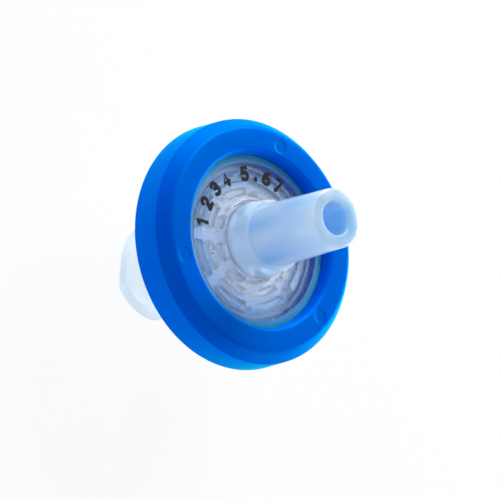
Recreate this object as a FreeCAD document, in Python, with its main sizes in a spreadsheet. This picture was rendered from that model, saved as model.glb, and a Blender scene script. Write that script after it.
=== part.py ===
"""Syringe filter with a 13 mm class body: two moulded halves, a membrane and a ring moulded over them.

The filter stands on the open end of its female luer lock. The origin is the centre of that end,
+Z runs along the axis towards the male luer tip. All lengths are in millimetres.
"""

import FreeCAD, Part
import math
import os

import Sketcher

doc = FreeCAD.newDocument("SyringeFilter")

# ---------------------------------------------------------------------------------------------
# Driving dimensions
# ---------------------------------------------------------------------------------------------

SIZES = [
    # inlet half, the female luer socket
    ("socket_mouth_radius", 2.15, "radius of the female luer cone at its mouth"),
    ("socket_depth", 7.5, "length of the female luer cone"),
    ("luer_taper", 0.03, "change of radius per mm of length, the 6 % luer cone"),
    ("mouth_chamfer", 0.15, "lead-in at the mouth of the socket"),
    ("feed_radius", 0.8, "hole from the socket to the membrane"),
    # inlet half, outside
    ("inlet_hub_length", 8.35, "open end to the outer face of the inlet plate"),
    ("inlet_hub_end_radius", 3.35, "hub radius at the open end"),
    ("inlet_hub_draft", 0.02, "growth of the hub radius per mm towards the plate"),
    ("inlet_hub_flare", 0.45, "sloped foot between the hub and the inlet plate"),
    ("ear_reach", 0.57, "how far the ears stand out from the hub"),
    ("ear_arc", 58, "angle that the outer face of an ear spans, in degrees"),
    ("ear_height", 1.25, "height of an ear at its middle"),
    ("thread_lead", 5.0, "lead of the luer lock thread, which slopes the back of the ears"),
    ("ear_turn", 56, "direction of the first ear from +X, in degrees"),
    ("inlet_plate_thickness", 0.95, "inlet plate, outer face to parting plane"),
    ("flange_width", 0.95, "how far the inlet plate reaches into the ring"),
    # inlet half, inside
    ("inlet_recess_depth", 0.3, "depth of the distribution recess under the membrane"),
    ("spoke_start", 1.6, "distance of the radial ribs from the axis"),
    ("spoke_width", 0.4, "width of a radial rib"),
    ("spoke_count", 8, "radial ribs that hold the membrane off the inlet plate"),
    # membrane
    ("membrane_thickness", 0.15, "thickness of the membrane"),
    ("membrane_clearance", 0.05, "gap around the membrane in its seat"),
    ("membrane_support", 0.4, "width of the ledge under the rim of the membrane"),
    # outlet half, plate
    ("window_radius", 5.95, "radius of the outlet plate, which shows inside the ring"),
    ("outlet_plate_thickness", 1.65, "outlet plate, parting plane to outer face"),
    ("weld_land", 0.1, "flat between the weld groove and the rim of the outlet plate"),
    ("weld_groove_width", 0.68, "width of the weld groove in the parting face"),
    ("weld_groove_depth", 0.55, "depth of the weld groove"),
    ("weld_groove_lean", 0.15, "how far the steep inner side of the weld groove leans"),
    ("seal_land", 0.22, "flat that clamps the rim of the membrane"),
    ("collector_depth", 0.93, "depth of the collecting recess, and height of its ribs"),
    ("rib_inner_radius", 2.55, "middle radius of the innermost ring of ribs"),
    ("rib_pitch", 0.95, "radial distance from one ring of ribs to the next"),
    ("rib_width", 0.45, "width of a rib at its foot"),
    ("rib_draft", 0.04, "how much each side of a rib leans in over its height"),
    ("channel_width", 0.92, "width of a radial channel between the ribs"),
    ("channel_count", 8, "radial channels that split the rings of ribs"),
    # outlet half, hub and male luer
    ("tip_length", 8.25, "outer face of the outlet plate to the end of the tip"),
    ("tip_radius", 1.98, "radius of the male luer cone at its end"),
    ("tip_chamfer", 0.14, "chamfer of the outer edge of the tip"),
    ("collar_height", 2.0, "outer face of the outlet plate to the collar"),
    ("collar_step", 0.28, "how far the collar stands out from the cone"),
    ("outlet_hub_draft", 0.09, "growth of the hub radius per mm below the collar"),
    ("outlet_hub_fillet", 0.45, "fillet between the hub and the outlet plate"),
    ("bore_tip_radius", 1.13, "bore radius at the tip"),
    ("bore_taper", 0.012, "loss of bore radius per mm towards the plate"),
    ("bore_mouth_chamfer", 0.12, "chamfer of the bore at the tip"),
    ("bore_funnel", 0.35, "chamfer of the bore where it meets the collecting recess"),
    # ring
    ("ring_width", 2.5, "radial width of the ring around the outlet plate, at its front edge"),
    ("ring_side_draft", 0.053, "growth of the outer radius per mm towards the back"),
    ("front_lip", 0.85, "height of the ring above the outlet plate"),
    ("back_lip", 0.7, "height of the ring behind the inlet plate"),
    ("front_shoulder_width", 0.7, "radial width of the front shoulder"),
    ("front_shoulder_height", 0.85, "height of the front shoulder"),
    ("back_shoulder_width", 1.05, "radial width of the back shoulder"),
    ("back_shoulder_height", 1.2, "height of the back shoulder"),
    ("shoulder_round", 0.5, "rounding from the front shoulder to the flat front"),
    ("lip_chamfer", 0.25, "chamfer of the inner edges of the lips"),
    ("lip_draft", 0.16, "growth of the opening's radius per mm of height of a lip"),
    ("ejector_mark_radius", 0.5, "radius of an ejector pin mark on the front of the ring"),
    ("ejector_mark_depth", 0.04, "depth of an ejector pin mark"),
    ("ejector_mark_turn", 77, "direction of the first mark from +X, in degrees"),
    ("ejector_mark_count", 3, "number of ejector pin marks"),
]

sheet = doc.addObject("Spreadsheet::Sheet", "Sizes")
for row, (alias, number, meaning) in enumerate(SIZES, start=1):
    sheet.set(f"A{row}", alias)
    sheet.set(f"B{row}", str(number))
    sheet.set(f"C{row}", meaning)
    sheet.setAlias(f"B{row}", alias)
doc.recompute()


def worked_out(expression):
    """Return the number that an expression over the sheet gives."""
    return float(sheet.evalExpression(expression))


# ---------------------------------------------------------------------------------------------
# Levels and radii that follow from the driving dimensions, as expressions over the sheet
# ---------------------------------------------------------------------------------------------

INLET_FACE = "Sizes.inlet_hub_length"
PARTING = f"({INLET_FACE} + Sizes.inlet_plate_thickness)"
OUTLET_FACE = f"({PARTING} + Sizes.outlet_plate_thickness)"
COLLAR = f"({OUTLET_FACE} + Sizes.collar_height)"
TIP_END = f"({OUTLET_FACE} + Sizes.tip_length)"
CEILING = f"({PARTING} + Sizes.collector_depth)"
BORE_START = f"({CEILING} + Sizes.bore_funnel)"
MEMBRANE_SEAT = f"({PARTING} - Sizes.membrane_thickness)"
INLET_RECESS_FLOOR = f"({MEMBRANE_SEAT} - Sizes.inlet_recess_depth)"
RING_TOP = f"({OUTLET_FACE} + Sizes.front_lip)"
RING_BOTTOM = f"({INLET_FACE} - Sizes.back_lip)"
FRONT_EDGE = f"({RING_TOP} - Sizes.front_shoulder_height)"
BACK_EDGE = f"({RING_BOTTOM} + Sizes.back_shoulder_height)"

FLANGE_RADIUS = "(Sizes.window_radius + Sizes.flange_width)"
WELD_GROOVE_OUTER = "(Sizes.window_radius - Sizes.weld_land)"
WELD_GROOVE_INNER = f"({WELD_GROOVE_OUTER} - Sizes.weld_groove_width)"
COLLECTOR_RADIUS = f"({WELD_GROOVE_INNER} - Sizes.seal_land)"
MEMBRANE_SEAT_RADIUS = WELD_GROOVE_INNER
MEMBRANE_RADIUS = f"({MEMBRANE_SEAT_RADIUS} - Sizes.membrane_clearance)"
INLET_RECESS_RADIUS = f"({MEMBRANE_RADIUS} - Sizes.membrane_support)"

SOCKET_FLOOR_RADIUS = "(Sizes.socket_mouth_radius - Sizes.luer_taper * Sizes.socket_depth)"
INLET_FLARE_START = f"({INLET_FACE} - Sizes.inlet_hub_flare)"
INLET_FLARE_RADIUS = f"(Sizes.inlet_hub_end_radius + Sizes.inlet_hub_draft * {INLET_FLARE_START})"
EAR_RADIUS = "(Sizes.inlet_hub_end_radius + Sizes.ear_reach)"
EAR_FLANK_TURN = f"(Sizes.ear_arc / 2 + acos(Sizes.inlet_hub_end_radius / {EAR_RADIUS}) / 1deg)"
EAR_SLOPE = f"(Sizes.thread_lead / (2 * pi * {EAR_RADIUS}))"
EAR_RISE = f"({EAR_SLOPE} * {EAR_RADIUS})"

CONE_BASE_RADIUS = (
    "(Sizes.tip_radius + Sizes.luer_taper * (Sizes.tip_length - Sizes.tip_chamfer - Sizes.collar_height))"
)
COLLAR_RADIUS = f"({CONE_BASE_RADIUS} + Sizes.collar_step)"
HUB_FOOT_RADIUS = f"({COLLAR_RADIUS} + Sizes.outlet_hub_draft * Sizes.collar_height)"
BORE_START_RADIUS = (
    f"(Sizes.bore_tip_radius - Sizes.bore_taper * ({TIP_END} - Sizes.bore_mouth_chamfer - {BORE_START}))"
)

RING_FRONT_RADIUS = "(Sizes.window_radius + Sizes.ring_width)"
RING_BACK_RADIUS = f"({RING_FRONT_RADIUS} + Sizes.ring_side_draft * ({FRONT_EDGE} - {BACK_EDGE}))"
FRONT_LIP_INNER = "(Sizes.window_radius + Sizes.lip_draft * (Sizes.front_lip - Sizes.lip_chamfer))"
FRONT_FLAT_INNER = f"({FRONT_LIP_INNER} + Sizes.lip_chamfer)"
FRONT_FLAT_OUTER = f"({RING_FRONT_RADIUS} - Sizes.front_shoulder_width)"
BACK_LIP_INNER = "(Sizes.window_radius + Sizes.lip_draft * (Sizes.back_lip - Sizes.lip_chamfer))"
BACK_FLAT_INNER = f"({BACK_LIP_INNER} + Sizes.lip_chamfer)"
BACK_FLAT_OUTER = f"({RING_BACK_RADIUS} - Sizes.back_shoulder_width)"
FRONT_SLOPE = "atan(Sizes.front_shoulder_height / Sizes.front_shoulder_width)"
FRONT_FLAT_END = f"({FRONT_FLAT_OUTER} - Sizes.shoulder_round * tan({FRONT_SLOPE} / 2))"
MARK_CIRCLE = f"(({FRONT_FLAT_INNER} + {FRONT_FLAT_END}) / 2)"


# ---------------------------------------------------------------------------------------------
# Sketch and feature helpers
# ---------------------------------------------------------------------------------------------

HORIZONTAL_AXIS, VERTICAL_AXIS = range(-1, -3, -1)
START, END, CENTRE = range(1, 4)
ON_AXIS = "0"


def new_body(label, compound=False):
    """Start a sub-part; compound lets its first features be several solids."""
    body = doc.addObject("PartDesign::Body", label)
    body.Label = label
    body.AllowCompound = compound
    return body


def new_sketch(body, name, plane, level=None):
    """Start a sketch on one of the body's own planes, raised to a level where one is given."""
    sketch = body.newObject("Sketcher::SketchObject", name)
    support = next(item for item in body.Origin.OriginFeatures if item.Role == plane)
    sketch.AttachmentSupport = [(support, "")]
    sketch.MapMode = "FlatFace"
    if level is not None:
        sketch.setExpression("AttachmentOffset.Base.z", level)
    return sketch


def bind(sketch, constraint, expression):
    """Add a constraint whose value follows an expression over the sheet."""
    index = sketch.addConstraint(constraint)
    sketch.setExpression(f"Constraints[{index}]", expression)


def pin(sketch, geometry, point, across, along):
    """Hold a point of the sketch at two expressions over the sheet."""
    for kind, axis, expression in (
        ("DistanceX", VERTICAL_AXIS, across),
        ("DistanceY", HORIZONTAL_AXIS, along),
    ):
        if expression == ON_AXIS:
            sketch.addConstraint(Sketcher.Constraint("PointOnObject", geometry, point, axis))
        else:
            number = worked_out(expression)
            bind(sketch, Sketcher.Constraint(kind, HORIZONTAL_AXIS, START, geometry, point, number), expression)


def rounding_reach(before, corner, after, radius):
    """Return how far a rounding of this radius reaches along the two sides of its corner."""
    half_angle = (before - corner).getAngle(after - corner) / 2
    return radius / math.tan(half_angle)


def draw_outline(sketch, corners):
    """Draw a closed outline of straight sides through corners (across, along, rounding).

    Across and along are expressions over the sheet, and so is the rounding, which is left
    out at a sharp corner.
    """
    count = len(corners)
    spots = [FreeCAD.Vector(worked_out(corner[0]), worked_out(corner[1])) for corner in corners]
    radii = [worked_out(corner[2]) if len(corner) == 3 else 0.0 for corner in corners]
    reaches = [
        rounding_reach(spots[i - 1], spots[i], spots[(i + 1) % count], radii[i]) if radii[i] else 0.0
        for i in range(count)
    ]

    sides = []
    for i in range(count):
        following = (i + 1) % count
        direction = (spots[following] - spots[i]).normalize()
        first = spots[i] + direction * reaches[i]
        last = spots[following] - direction * reaches[following]
        sides.append(sketch.addGeometry(Part.LineSegment(first, last)))

    for i, corner in enumerate(corners):
        before, after = sides[i - 1], sides[i]
        if radii[i]:
            round_corner(sketch, before, after, corner, spots[i], radii[i])
        else:
            sketch.addConstraint(Sketcher.Constraint("Coincident", before, END, after, START))
            pin(sketch, after, START, corner[0], corner[1])


def round_corner(sketch, before, after, corner, spot, radius):
    """Join two sides with a tangent arc and hold the sharp corner that they would meet in."""
    first = sketch.getPoint(before, END)
    last = sketch.getPoint(after, START)
    middle = (first + last) * 0.5
    to_centre = (middle - spot).normalize()
    half_chord = (last - first).Length / 2
    centre = middle + to_centre * math.sqrt(max(radius**2 - half_chord**2, 0.0))
    circle = Part.Circle(centre, FreeCAD.Vector(0, 0, 1), radius)
    turns_left = (spot - first).cross(last - spot).z > 0
    ends = (first, last) if turns_left else (last, first)
    angles = [math.atan2(end.y - centre.y, end.x - centre.x) for end in ends]
    arc = sketch.addGeometry(Part.ArcOfCircle(circle, angles[0], angles[1]))
    arc_first, arc_last = (START, END) if turns_left else (END, START)
    sketch.addConstraint(Sketcher.Constraint("Tangent", before, END, arc, arc_first))
    sketch.addConstraint(Sketcher.Constraint("Tangent", arc, arc_last, after, START))
    bind(sketch, Sketcher.Constraint("Radius", arc, radius), corner[2])
    sharp = sketch.addGeometry(Part.Point(spot), True)
    sketch.addConstraint(Sketcher.Constraint("PointOnObject", sharp, START, before))
    sketch.addConstraint(Sketcher.Constraint("PointOnObject", sharp, START, after))
    pin(sketch, sharp, START, corner[0], corner[1])


def turn(body, name, sketch, kind="PartDesign::Revolution"):
    """Turn a sketch all the way around Z, to add material or, as a Groove, to cut it."""
    feature = body.newObject(kind, name)
    feature.Profile = sketch
    feature.ReferenceAxis = (sketch, ["V_Axis"])
    feature.Angle = 360
    doc.recompute()
    return feature


def raise_pad(body, name, sketch, height):
    """Pad a level sketch upwards by an expression over the sheet."""
    feature = body.newObject("PartDesign::Pad", name)
    feature.Profile = sketch
    feature.setExpression("Length", height)
    doc.recompute()
    return feature


def cut_pocket(body, name, sketch, depth, upwards):
    """Cut a level sketch into the body by an expression over the sheet."""
    feature = body.newObject("PartDesign::Pocket", name)
    feature.Profile = sketch
    feature.Reversed = upwards
    feature.setExpression("Length", depth)
    doc.recompute()
    return feature


def repeat_around(body, name, features, sketch, count):
    """Repeat features evenly around the axis, through the normal of a level sketch."""
    pattern = body.newObject("PartDesign::PolarPattern", name)
    pattern.Originals = features
    pattern.Axis = (sketch, ["N_Axis"])
    pattern.Angle = 360
    pattern.setExpression("Occurrences", count)
    body.Tip = pattern
    doc.recompute()
    return pattern


def strip_corners(first, last, width):
    """Return the corners of a radial strip along +X from one distance to another."""
    half = f"({width} / 2)"
    return [(first, f"-{half}"), (last, f"-{half}"), (last, half), (first, half)]


# ---------------------------------------------------------------------------------------------
# Inlet housing
# ---------------------------------------------------------------------------------------------


def draw_ear(sketch):
    """Draw one luer lock ear along +X: an arc at its tip and two flanks tangent to the hub."""
    arc_half_width = f"({EAR_RADIUS} * sin(Sizes.ear_arc / 2))"
    flank_across = f"(Sizes.inlet_hub_end_radius * cos({EAR_FLANK_TURN}))"
    flank_along = f"(Sizes.inlet_hub_end_radius * sin({EAR_FLANK_TURN}))"

    radius = worked_out(EAR_RADIUS)
    half_angle = math.radians(worked_out("Sizes.ear_arc") / 2)
    origin = FreeCAD.Vector(0, 0, 0)
    tip_circle = Part.Circle(origin, FreeCAD.Vector(0, 0, 1), radius)
    tip = sketch.addGeometry(Part.ArcOfCircle(tip_circle, -half_angle, half_angle))
    sketch.addConstraint(Sketcher.Constraint("Coincident", tip, CENTRE, HORIZONTAL_AXIS, START))
    bind(sketch, Sketcher.Constraint("Radius", tip, radius), EAR_RADIUS)
    for point, sign in ((START, "-"), (END, "")):
        height = worked_out(sign + arc_half_width)
        held = Sketcher.Constraint("DistanceY", HORIZONTAL_AXIS, START, tip, point, height)
        bind(sketch, held, sign + arc_half_width)

    low = FreeCAD.Vector(worked_out(flank_across), -worked_out(flank_along))
    high = FreeCAD.Vector(worked_out(flank_across), worked_out(flank_along))
    low_flank = sketch.addGeometry(Part.LineSegment(low, sketch.getPoint(tip, START)))
    high_flank = sketch.addGeometry(Part.LineSegment(sketch.getPoint(tip, END), high))
    root = sketch.addGeometry(Part.LineSegment(high, low))
    for first, first_end, second, second_end in (
        (low_flank, END, tip, START),
        (tip, END, high_flank, START),
        (high_flank, END, root, START),
        (root, END, low_flank, START),
    ):
        sketch.addConstraint(Sketcher.Constraint("Coincident", first, first_end, second, second_end))
    pin(sketch, root, START, flank_across, flank_along)
    pin(sketch, root, END, flank_across, f"-{flank_along}")


def make_inlet_housing():
    """Female luer lock, hub and inlet plate, with the seat of the membrane."""
    body = new_body("inlet_housing", compound=True)

    outline = new_sketch(body, "EarOutline", "XY_Plane")
    draw_ear(outline)
    ear = raise_pad(body, "Ear", outline, f"Sizes.ear_height + {EAR_RISE}")

    ramp_sketch = new_sketch(body, "EarRampSide", "YZ_Plane")
    ramp_low = f"(Sizes.ear_height - {EAR_RISE})"
    ramp_high = f"(Sizes.ear_height + {EAR_RISE})"
    ramp_clear = f"(Sizes.ear_height + 2 * {EAR_RISE})"
    draw_outline(
        ramp_sketch,
        [
            (f"-{EAR_RADIUS}", ramp_low),
            (EAR_RADIUS, ramp_high),
            (EAR_RADIUS, ramp_clear),
            (f"-{EAR_RADIUS}", ramp_clear),
        ],
    )
    ramp = cut_pocket(body, "EarRamp", ramp_sketch, f"2 * {EAR_RADIUS}", upwards=True)
    repeat_around(body, "Ears", [ear, ramp], outline, "2")

    outer_sketch = new_sketch(body, "HubAndPlateProfile", "XZ_Plane")
    draw_outline(
        outer_sketch,
        [
            (ON_AXIS, ON_AXIS),
            ("Sizes.inlet_hub_end_radius", ON_AXIS),
            (INLET_FLARE_RADIUS, INLET_FLARE_START),
            (f"({INLET_FLARE_RADIUS} + Sizes.inlet_hub_flare)", INLET_FACE),
            (FLANGE_RADIUS, INLET_FACE),
            (FLANGE_RADIUS, PARTING),
            (ON_AXIS, PARTING),
        ],
    )
    turn(body, "HubAndPlate", outer_sketch)

    inner_sketch = new_sketch(body, "SocketProfile", "XZ_Plane")
    chamfer_radius = "(Sizes.socket_mouth_radius + Sizes.mouth_chamfer)"
    chamfer_end_radius = "(Sizes.socket_mouth_radius - Sizes.luer_taper * Sizes.mouth_chamfer)"
    draw_outline(
        inner_sketch,
        [
            (ON_AXIS, ON_AXIS),
            (chamfer_radius, ON_AXIS),
            (chamfer_end_radius, "Sizes.mouth_chamfer"),
            (SOCKET_FLOOR_RADIUS, "Sizes.socket_depth"),
            ("Sizes.feed_radius", "Sizes.socket_depth"),
            ("Sizes.feed_radius", INLET_RECESS_FLOOR),
            (INLET_RECESS_RADIUS, INLET_RECESS_FLOOR),
            (INLET_RECESS_RADIUS, MEMBRANE_SEAT),
            (MEMBRANE_SEAT_RADIUS, MEMBRANE_SEAT),
            (MEMBRANE_SEAT_RADIUS, PARTING),
            (ON_AXIS, PARTING),
        ],
    )
    turn(body, "Socket", inner_sketch, "PartDesign::Groove")

    spoke_sketch = new_sketch(body, "SpokeOutline", "XY_Plane", INLET_RECESS_FLOOR)
    inside_ledge = f"({INLET_RECESS_RADIUS} + Sizes.membrane_support / 2)"
    draw_outline(spoke_sketch, strip_corners("Sizes.spoke_start", inside_ledge, "Sizes.spoke_width"))
    spoke = raise_pad(body, "Spoke", spoke_sketch, "Sizes.inlet_recess_depth")
    repeat_around(body, "Spokes", [spoke], spoke_sketch, "Sizes.spoke_count")

    body.setExpression("Placement.Rotation.Angle", "Sizes.ear_turn")
    return body


# ---------------------------------------------------------------------------------------------
# Membrane
# ---------------------------------------------------------------------------------------------


def make_membrane():
    """Round membrane in its seat in the inlet plate."""
    disc = doc.addObject("Part::Cylinder", "membrane")
    disc.Label = "membrane"
    disc.setExpression("Radius", MEMBRANE_RADIUS)
    disc.setExpression("Height", "Sizes.membrane_thickness")
    disc.setExpression("Placement.Base.z", MEMBRANE_SEAT)
    return disc


# ---------------------------------------------------------------------------------------------
# Outlet housing
# ---------------------------------------------------------------------------------------------


def rib_radii():
    """Return the middle radius of each ring of ribs that fits in the collecting recess."""
    room = worked_out(f"{COLLECTOR_RADIUS} - Sizes.rib_inner_radius - Sizes.rib_width / 2")
    rings = 1 + max(int(room / worked_out("Sizes.rib_pitch")), 0)
    return [f"(Sizes.rib_inner_radius + {ring} * Sizes.rib_pitch)" for ring in range(rings)]


def rib_corners(middle):
    """Return the section of one ring of ribs, which hangs from the ceiling to the membrane."""
    foot = "(Sizes.rib_width / 2)"
    crest = "(Sizes.rib_width / 2 - Sizes.rib_draft)"
    return [
        (f"({middle} - {foot})", CEILING),
        (f"({middle} - {crest})", PARTING),
        (f"({middle} + {crest})", PARTING),
        (f"({middle} + {foot})", CEILING),
    ]


def make_outlet_housing():
    """Clear plate with its ribs, hub, collar and male luer slip cone."""
    body = new_body("outlet_housing")
    radii = rib_radii()
    ribs = [corner for middle in radii for corner in rib_corners(middle)]

    profile = new_sketch(body, "OutletProfile", "XZ_Plane")
    draw_outline(
        profile,
        [(f"({BORE_START_RADIUS} + Sizes.bore_funnel)", CEILING)]
        + ribs
        + [
            (COLLECTOR_RADIUS, CEILING),
            (COLLECTOR_RADIUS, PARTING),
            (WELD_GROOVE_INNER, PARTING),
            (f"({WELD_GROOVE_INNER} + Sizes.weld_groove_lean)", f"({PARTING} + Sizes.weld_groove_depth)"),
            (WELD_GROOVE_OUTER, PARTING),
            ("Sizes.window_radius", PARTING),
            ("Sizes.window_radius", OUTLET_FACE),
            (HUB_FOOT_RADIUS, OUTLET_FACE, "Sizes.outlet_hub_fillet"),
            (COLLAR_RADIUS, COLLAR),
            (CONE_BASE_RADIUS, COLLAR),
            ("Sizes.tip_radius", f"({TIP_END} - Sizes.tip_chamfer)"),
            ("(Sizes.tip_radius - Sizes.tip_chamfer)", TIP_END),
            ("(Sizes.bore_tip_radius + Sizes.bore_mouth_chamfer)", TIP_END),
            ("Sizes.bore_tip_radius", f"({TIP_END} - Sizes.bore_mouth_chamfer)"),
            (BORE_START_RADIUS, BORE_START),
        ],
    )
    turn(body, "PlateAndTip", profile)

    channel_sketch = new_sketch(body, "ChannelOutline", "XY_Plane", PARTING)
    channel_end = f"(({radii[-1]} + Sizes.rib_width / 2 + {COLLECTOR_RADIUS}) / 2)"
    draw_outline(channel_sketch, strip_corners(ON_AXIS, channel_end, "Sizes.channel_width"))
    channel = cut_pocket(body, "Channel", channel_sketch, "Sizes.collector_depth", upwards=True)
    repeat_around(body, "Channels", [channel], channel_sketch, "Sizes.channel_count")
    return body


# ---------------------------------------------------------------------------------------------
# Ring
# ---------------------------------------------------------------------------------------------


def make_overmould_ring():
    """Ring around both plates, with a lip in front of and behind them."""
    body = new_body("overmould_ring")
    profile = new_sketch(body, "RingProfile", "XZ_Plane")
    draw_outline(
        profile,
        [
            ("Sizes.window_radius", PARTING),
            (FLANGE_RADIUS, PARTING),
            (FLANGE_RADIUS, INLET_FACE),
            ("Sizes.window_radius", INLET_FACE),
            (BACK_LIP_INNER, f"({RING_BOTTOM} + Sizes.lip_chamfer)"),
            (BACK_FLAT_INNER, RING_BOTTOM),
            (BACK_FLAT_OUTER, RING_BOTTOM),
            (RING_BACK_RADIUS, BACK_EDGE),
            (RING_FRONT_RADIUS, FRONT_EDGE),
            (FRONT_FLAT_OUTER, RING_TOP, "Sizes.shoulder_round"),
            (FRONT_FLAT_INNER, RING_TOP),
            (FRONT_LIP_INNER, f"({RING_TOP} - Sizes.lip_chamfer)"),
            ("Sizes.window_radius", OUTLET_FACE),
        ],
    )
    turn(body, "Ring", profile)

    mark_sketch = new_sketch(body, "EjectorMarkOutline", "XY_Plane", RING_TOP)
    mark_radius = worked_out("Sizes.ejector_mark_radius")
    mark_across = f"({MARK_CIRCLE} * cos(Sizes.ejector_mark_turn))"
    mark_along = f"({MARK_CIRCLE} * sin(Sizes.ejector_mark_turn))"
    mark_centre = FreeCAD.Vector(worked_out(mark_across), worked_out(mark_along))
    circle = mark_sketch.addGeometry(Part.Circle(mark_centre, FreeCAD.Vector(0, 0, 1), mark_radius))
    bind(mark_sketch, Sketcher.Constraint("Radius", circle, mark_radius), "Sizes.ejector_mark_radius")
    pin(mark_sketch, circle, CENTRE, mark_across, mark_along)
    mark = cut_pocket(body, "EjectorMark", mark_sketch, "Sizes.ejector_mark_depth", upwards=False)
    repeat_around(body, "EjectorMarks", [mark], mark_sketch, "Sizes.ejector_mark_count")
    return body


# ---------------------------------------------------------------------------------------------
# Build, check and write
# ---------------------------------------------------------------------------------------------


def check_document():
    """Stop if any object of the document failed to recompute."""
    for item in doc.Objects:
        if "Invalid" in item.State or "Error" in item.State:
            raise RuntimeError(f"{item.Label} failed: {item.State}")


def write_part(sub_part):
    """Check one sub-part's shape and write it to its own STEP file."""
    shape = sub_part.Shape
    if shape.isNull() or not shape.isValid() or len(shape.Solids) != 1:
        raise RuntimeError(f"{sub_part.Label} is not one valid solid")
    shape.exportStep(os.path.join("parts", f"{sub_part.Label}.step"))


sub_parts = [make_inlet_housing(), make_membrane(), make_outlet_housing(), make_overmould_ring()]
doc.recompute()
check_document()
os.makedirs("parts", exist_ok=True)
for sub_part in sub_parts:
    write_part(sub_part)
    box = sub_part.Shape.BoundBox
    print(f"{sub_part.Label}: {sub_part.Shape.Volume:.2f} mm3, Z {box.ZMin:.2f} to {box.ZMax:.2f}")
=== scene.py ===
"""Syringe filter: finer meshes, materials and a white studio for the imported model.

The frame's nodes give every level and radius that they can. Lengths are in metres, and MM turns
millimetres into them. The axis of the filter is Z, and the tip points up.
"""

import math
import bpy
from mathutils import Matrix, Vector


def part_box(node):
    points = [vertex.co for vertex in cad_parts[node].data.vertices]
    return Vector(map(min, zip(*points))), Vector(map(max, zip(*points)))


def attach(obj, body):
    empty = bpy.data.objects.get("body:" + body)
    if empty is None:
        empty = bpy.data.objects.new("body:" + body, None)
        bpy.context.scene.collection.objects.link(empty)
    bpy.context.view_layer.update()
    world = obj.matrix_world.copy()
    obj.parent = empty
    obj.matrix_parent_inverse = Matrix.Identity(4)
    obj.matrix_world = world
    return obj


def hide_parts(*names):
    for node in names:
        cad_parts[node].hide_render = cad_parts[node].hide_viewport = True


bl_info = {
    "name": "Syringe Filter",
    "version": (1, 0, 0),
    "blender": (4, 5, 0),
    "location": "View3D > Sidebar > Syringe Filter",
    "description": "Finishes a syringe filter with a blue ring, clear luer halves and plain digits",
    "category": "Object",
}

import bmesh
import bpy
from bpy.props import FloatProperty, FloatVectorProperty, IntProperty, PointerProperty, StringProperty
from mathutils import Matrix, Vector

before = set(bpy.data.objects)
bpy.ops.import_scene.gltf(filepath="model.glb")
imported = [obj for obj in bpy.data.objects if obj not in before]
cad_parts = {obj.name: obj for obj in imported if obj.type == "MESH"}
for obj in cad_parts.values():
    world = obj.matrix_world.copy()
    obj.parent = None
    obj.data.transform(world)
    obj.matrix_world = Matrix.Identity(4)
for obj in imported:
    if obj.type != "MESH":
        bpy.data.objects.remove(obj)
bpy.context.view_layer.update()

MM = 0.001
BODY = "root"

INLET_LOW, INLET_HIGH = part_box("inlet_housing")
MEMBRANE_LOW, MEMBRANE_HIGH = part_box("membrane")
OUTLET_LOW, OUTLET_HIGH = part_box("outlet_housing")
RING_LOW, RING_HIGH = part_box("overmould_ring")

# Layers that touch in the real part are kept this far into each other, or apart, so that light
# meets only one surface at a time.
FILM = 0.006 * MM
# Points nearer than these are merged: in a single mesh, and where copies or strokes meet.
MERGE = 0.0005 * MM
JOIN = 0.001 * MM
# Edges that bend more than this stay sharp.
SHARP_BEND = math.radians(28)
# Change of radius per length of a 6 % luer cone.
LUER_TAPER = 0.03

POLYPROPYLENE_IOR = 1.49
# Light travels this far in polypropylene between two scatterings: thin plates look clear and
# thick hubs milky.
HAZE_LENGTH = 2.2 * MM
# Shares of the light that pass the outlet half where it is clear and where it is milky, and how
# far above the face of its plate it is all milky.
CLEARNESS = (0.97, 0.35)
MILKY_RISE = 0.8 * MM
# Distances from the axis at which the clear plate has its core, middle and rim tints. The blue of the
# middle and rim tints is painted light from the ring.
TINT_REACH = (3.0 * MM, 5.25 * MM, 5.65 * MM)
# Share of the painted lighter tint in the foot of the hub, which brightens it, and the rises over the
# plate where it fades out.
FOOT_PALENESS = 0.35
FOOT_FADE = (1.5 * MM, 2.6 * MM)
# Share of plain white in the floor. The rest of it takes the shadow.
FLOOR_WHITENESS = 0.9
# Share of the gloss on the blue ring, face on and at a grazing angle.
GLOSS_SHARE = (0.15, 1.0)
# Roughness of the two plastics where their flow marks are faintest and strongest, and how much
# less it is on the hub of the clear one.
CLEAR_ROUGHNESS = (0.18, 0.32)
HUB_SMOOTHNESS = 0.1
NATURAL_ROUGHNESS = (0.52, 0.68)
# Values of the noise between which the hub turns cloudy, and its scale along Z.
CLOUD_ENDS = (0.3, 0.7)
CLOUD_DRAW = 0.35

AROUND_NAME = "Around the axis"


# ---- Sizes and colours ----


def linear_colour(code):
    """Turn an sRGB hex colour such as #0a58d0 into linear red, green, blue and alpha."""
    channels = [int(code[i : i + 2], 16) / 255 for i in (1, 3, 5)]
    linear = [c / 12.92 if c <= 0.04045 else ((c + 0.055) / 1.055) ** 2.4 for c in channels]
    return (*linear, 1.0)


# Tints of the gloss on the blue ring, seen face on and at a grazing angle.
GLOSS_TINT = linear_colour("#00baff")
GRAZING_TINT = linear_colour("#20d8ff")
GRAZING_POWER = 3.0


def length(name, description, millimetres):
    """Describe a size of a piece, given in millimetres and kept in metres."""
    return FloatProperty(
        name=name, description=description, default=millimetres * MM, min=0.0, precision=5, unit="LENGTH"
    )


def angle(name, description, degrees):
    """Describe an angle that is given in degrees."""
    turn = math.radians(degrees)
    return FloatProperty(name=name, description=description, default=turn, subtype="ANGLE")


def number(name, description, default, unit="NONE"):
    """Describe a plain number, or one with a unit."""
    return FloatProperty(name=name, description=description, default=default, unit=unit)


def count(name, description, default, least):
    """Describe a whole number of pieces."""
    return IntProperty(name=name, description=description, default=default, min=least)


def colour(name, description, code):
    """Describe a colour of a finish, given as sRGB hex."""
    return FloatVectorProperty(
        name=name,
        description=description,
        default=linear_colour(code),
        size=4,
        min=0.0,
        max=1.0,
        subtype="COLOR",
    )


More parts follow.
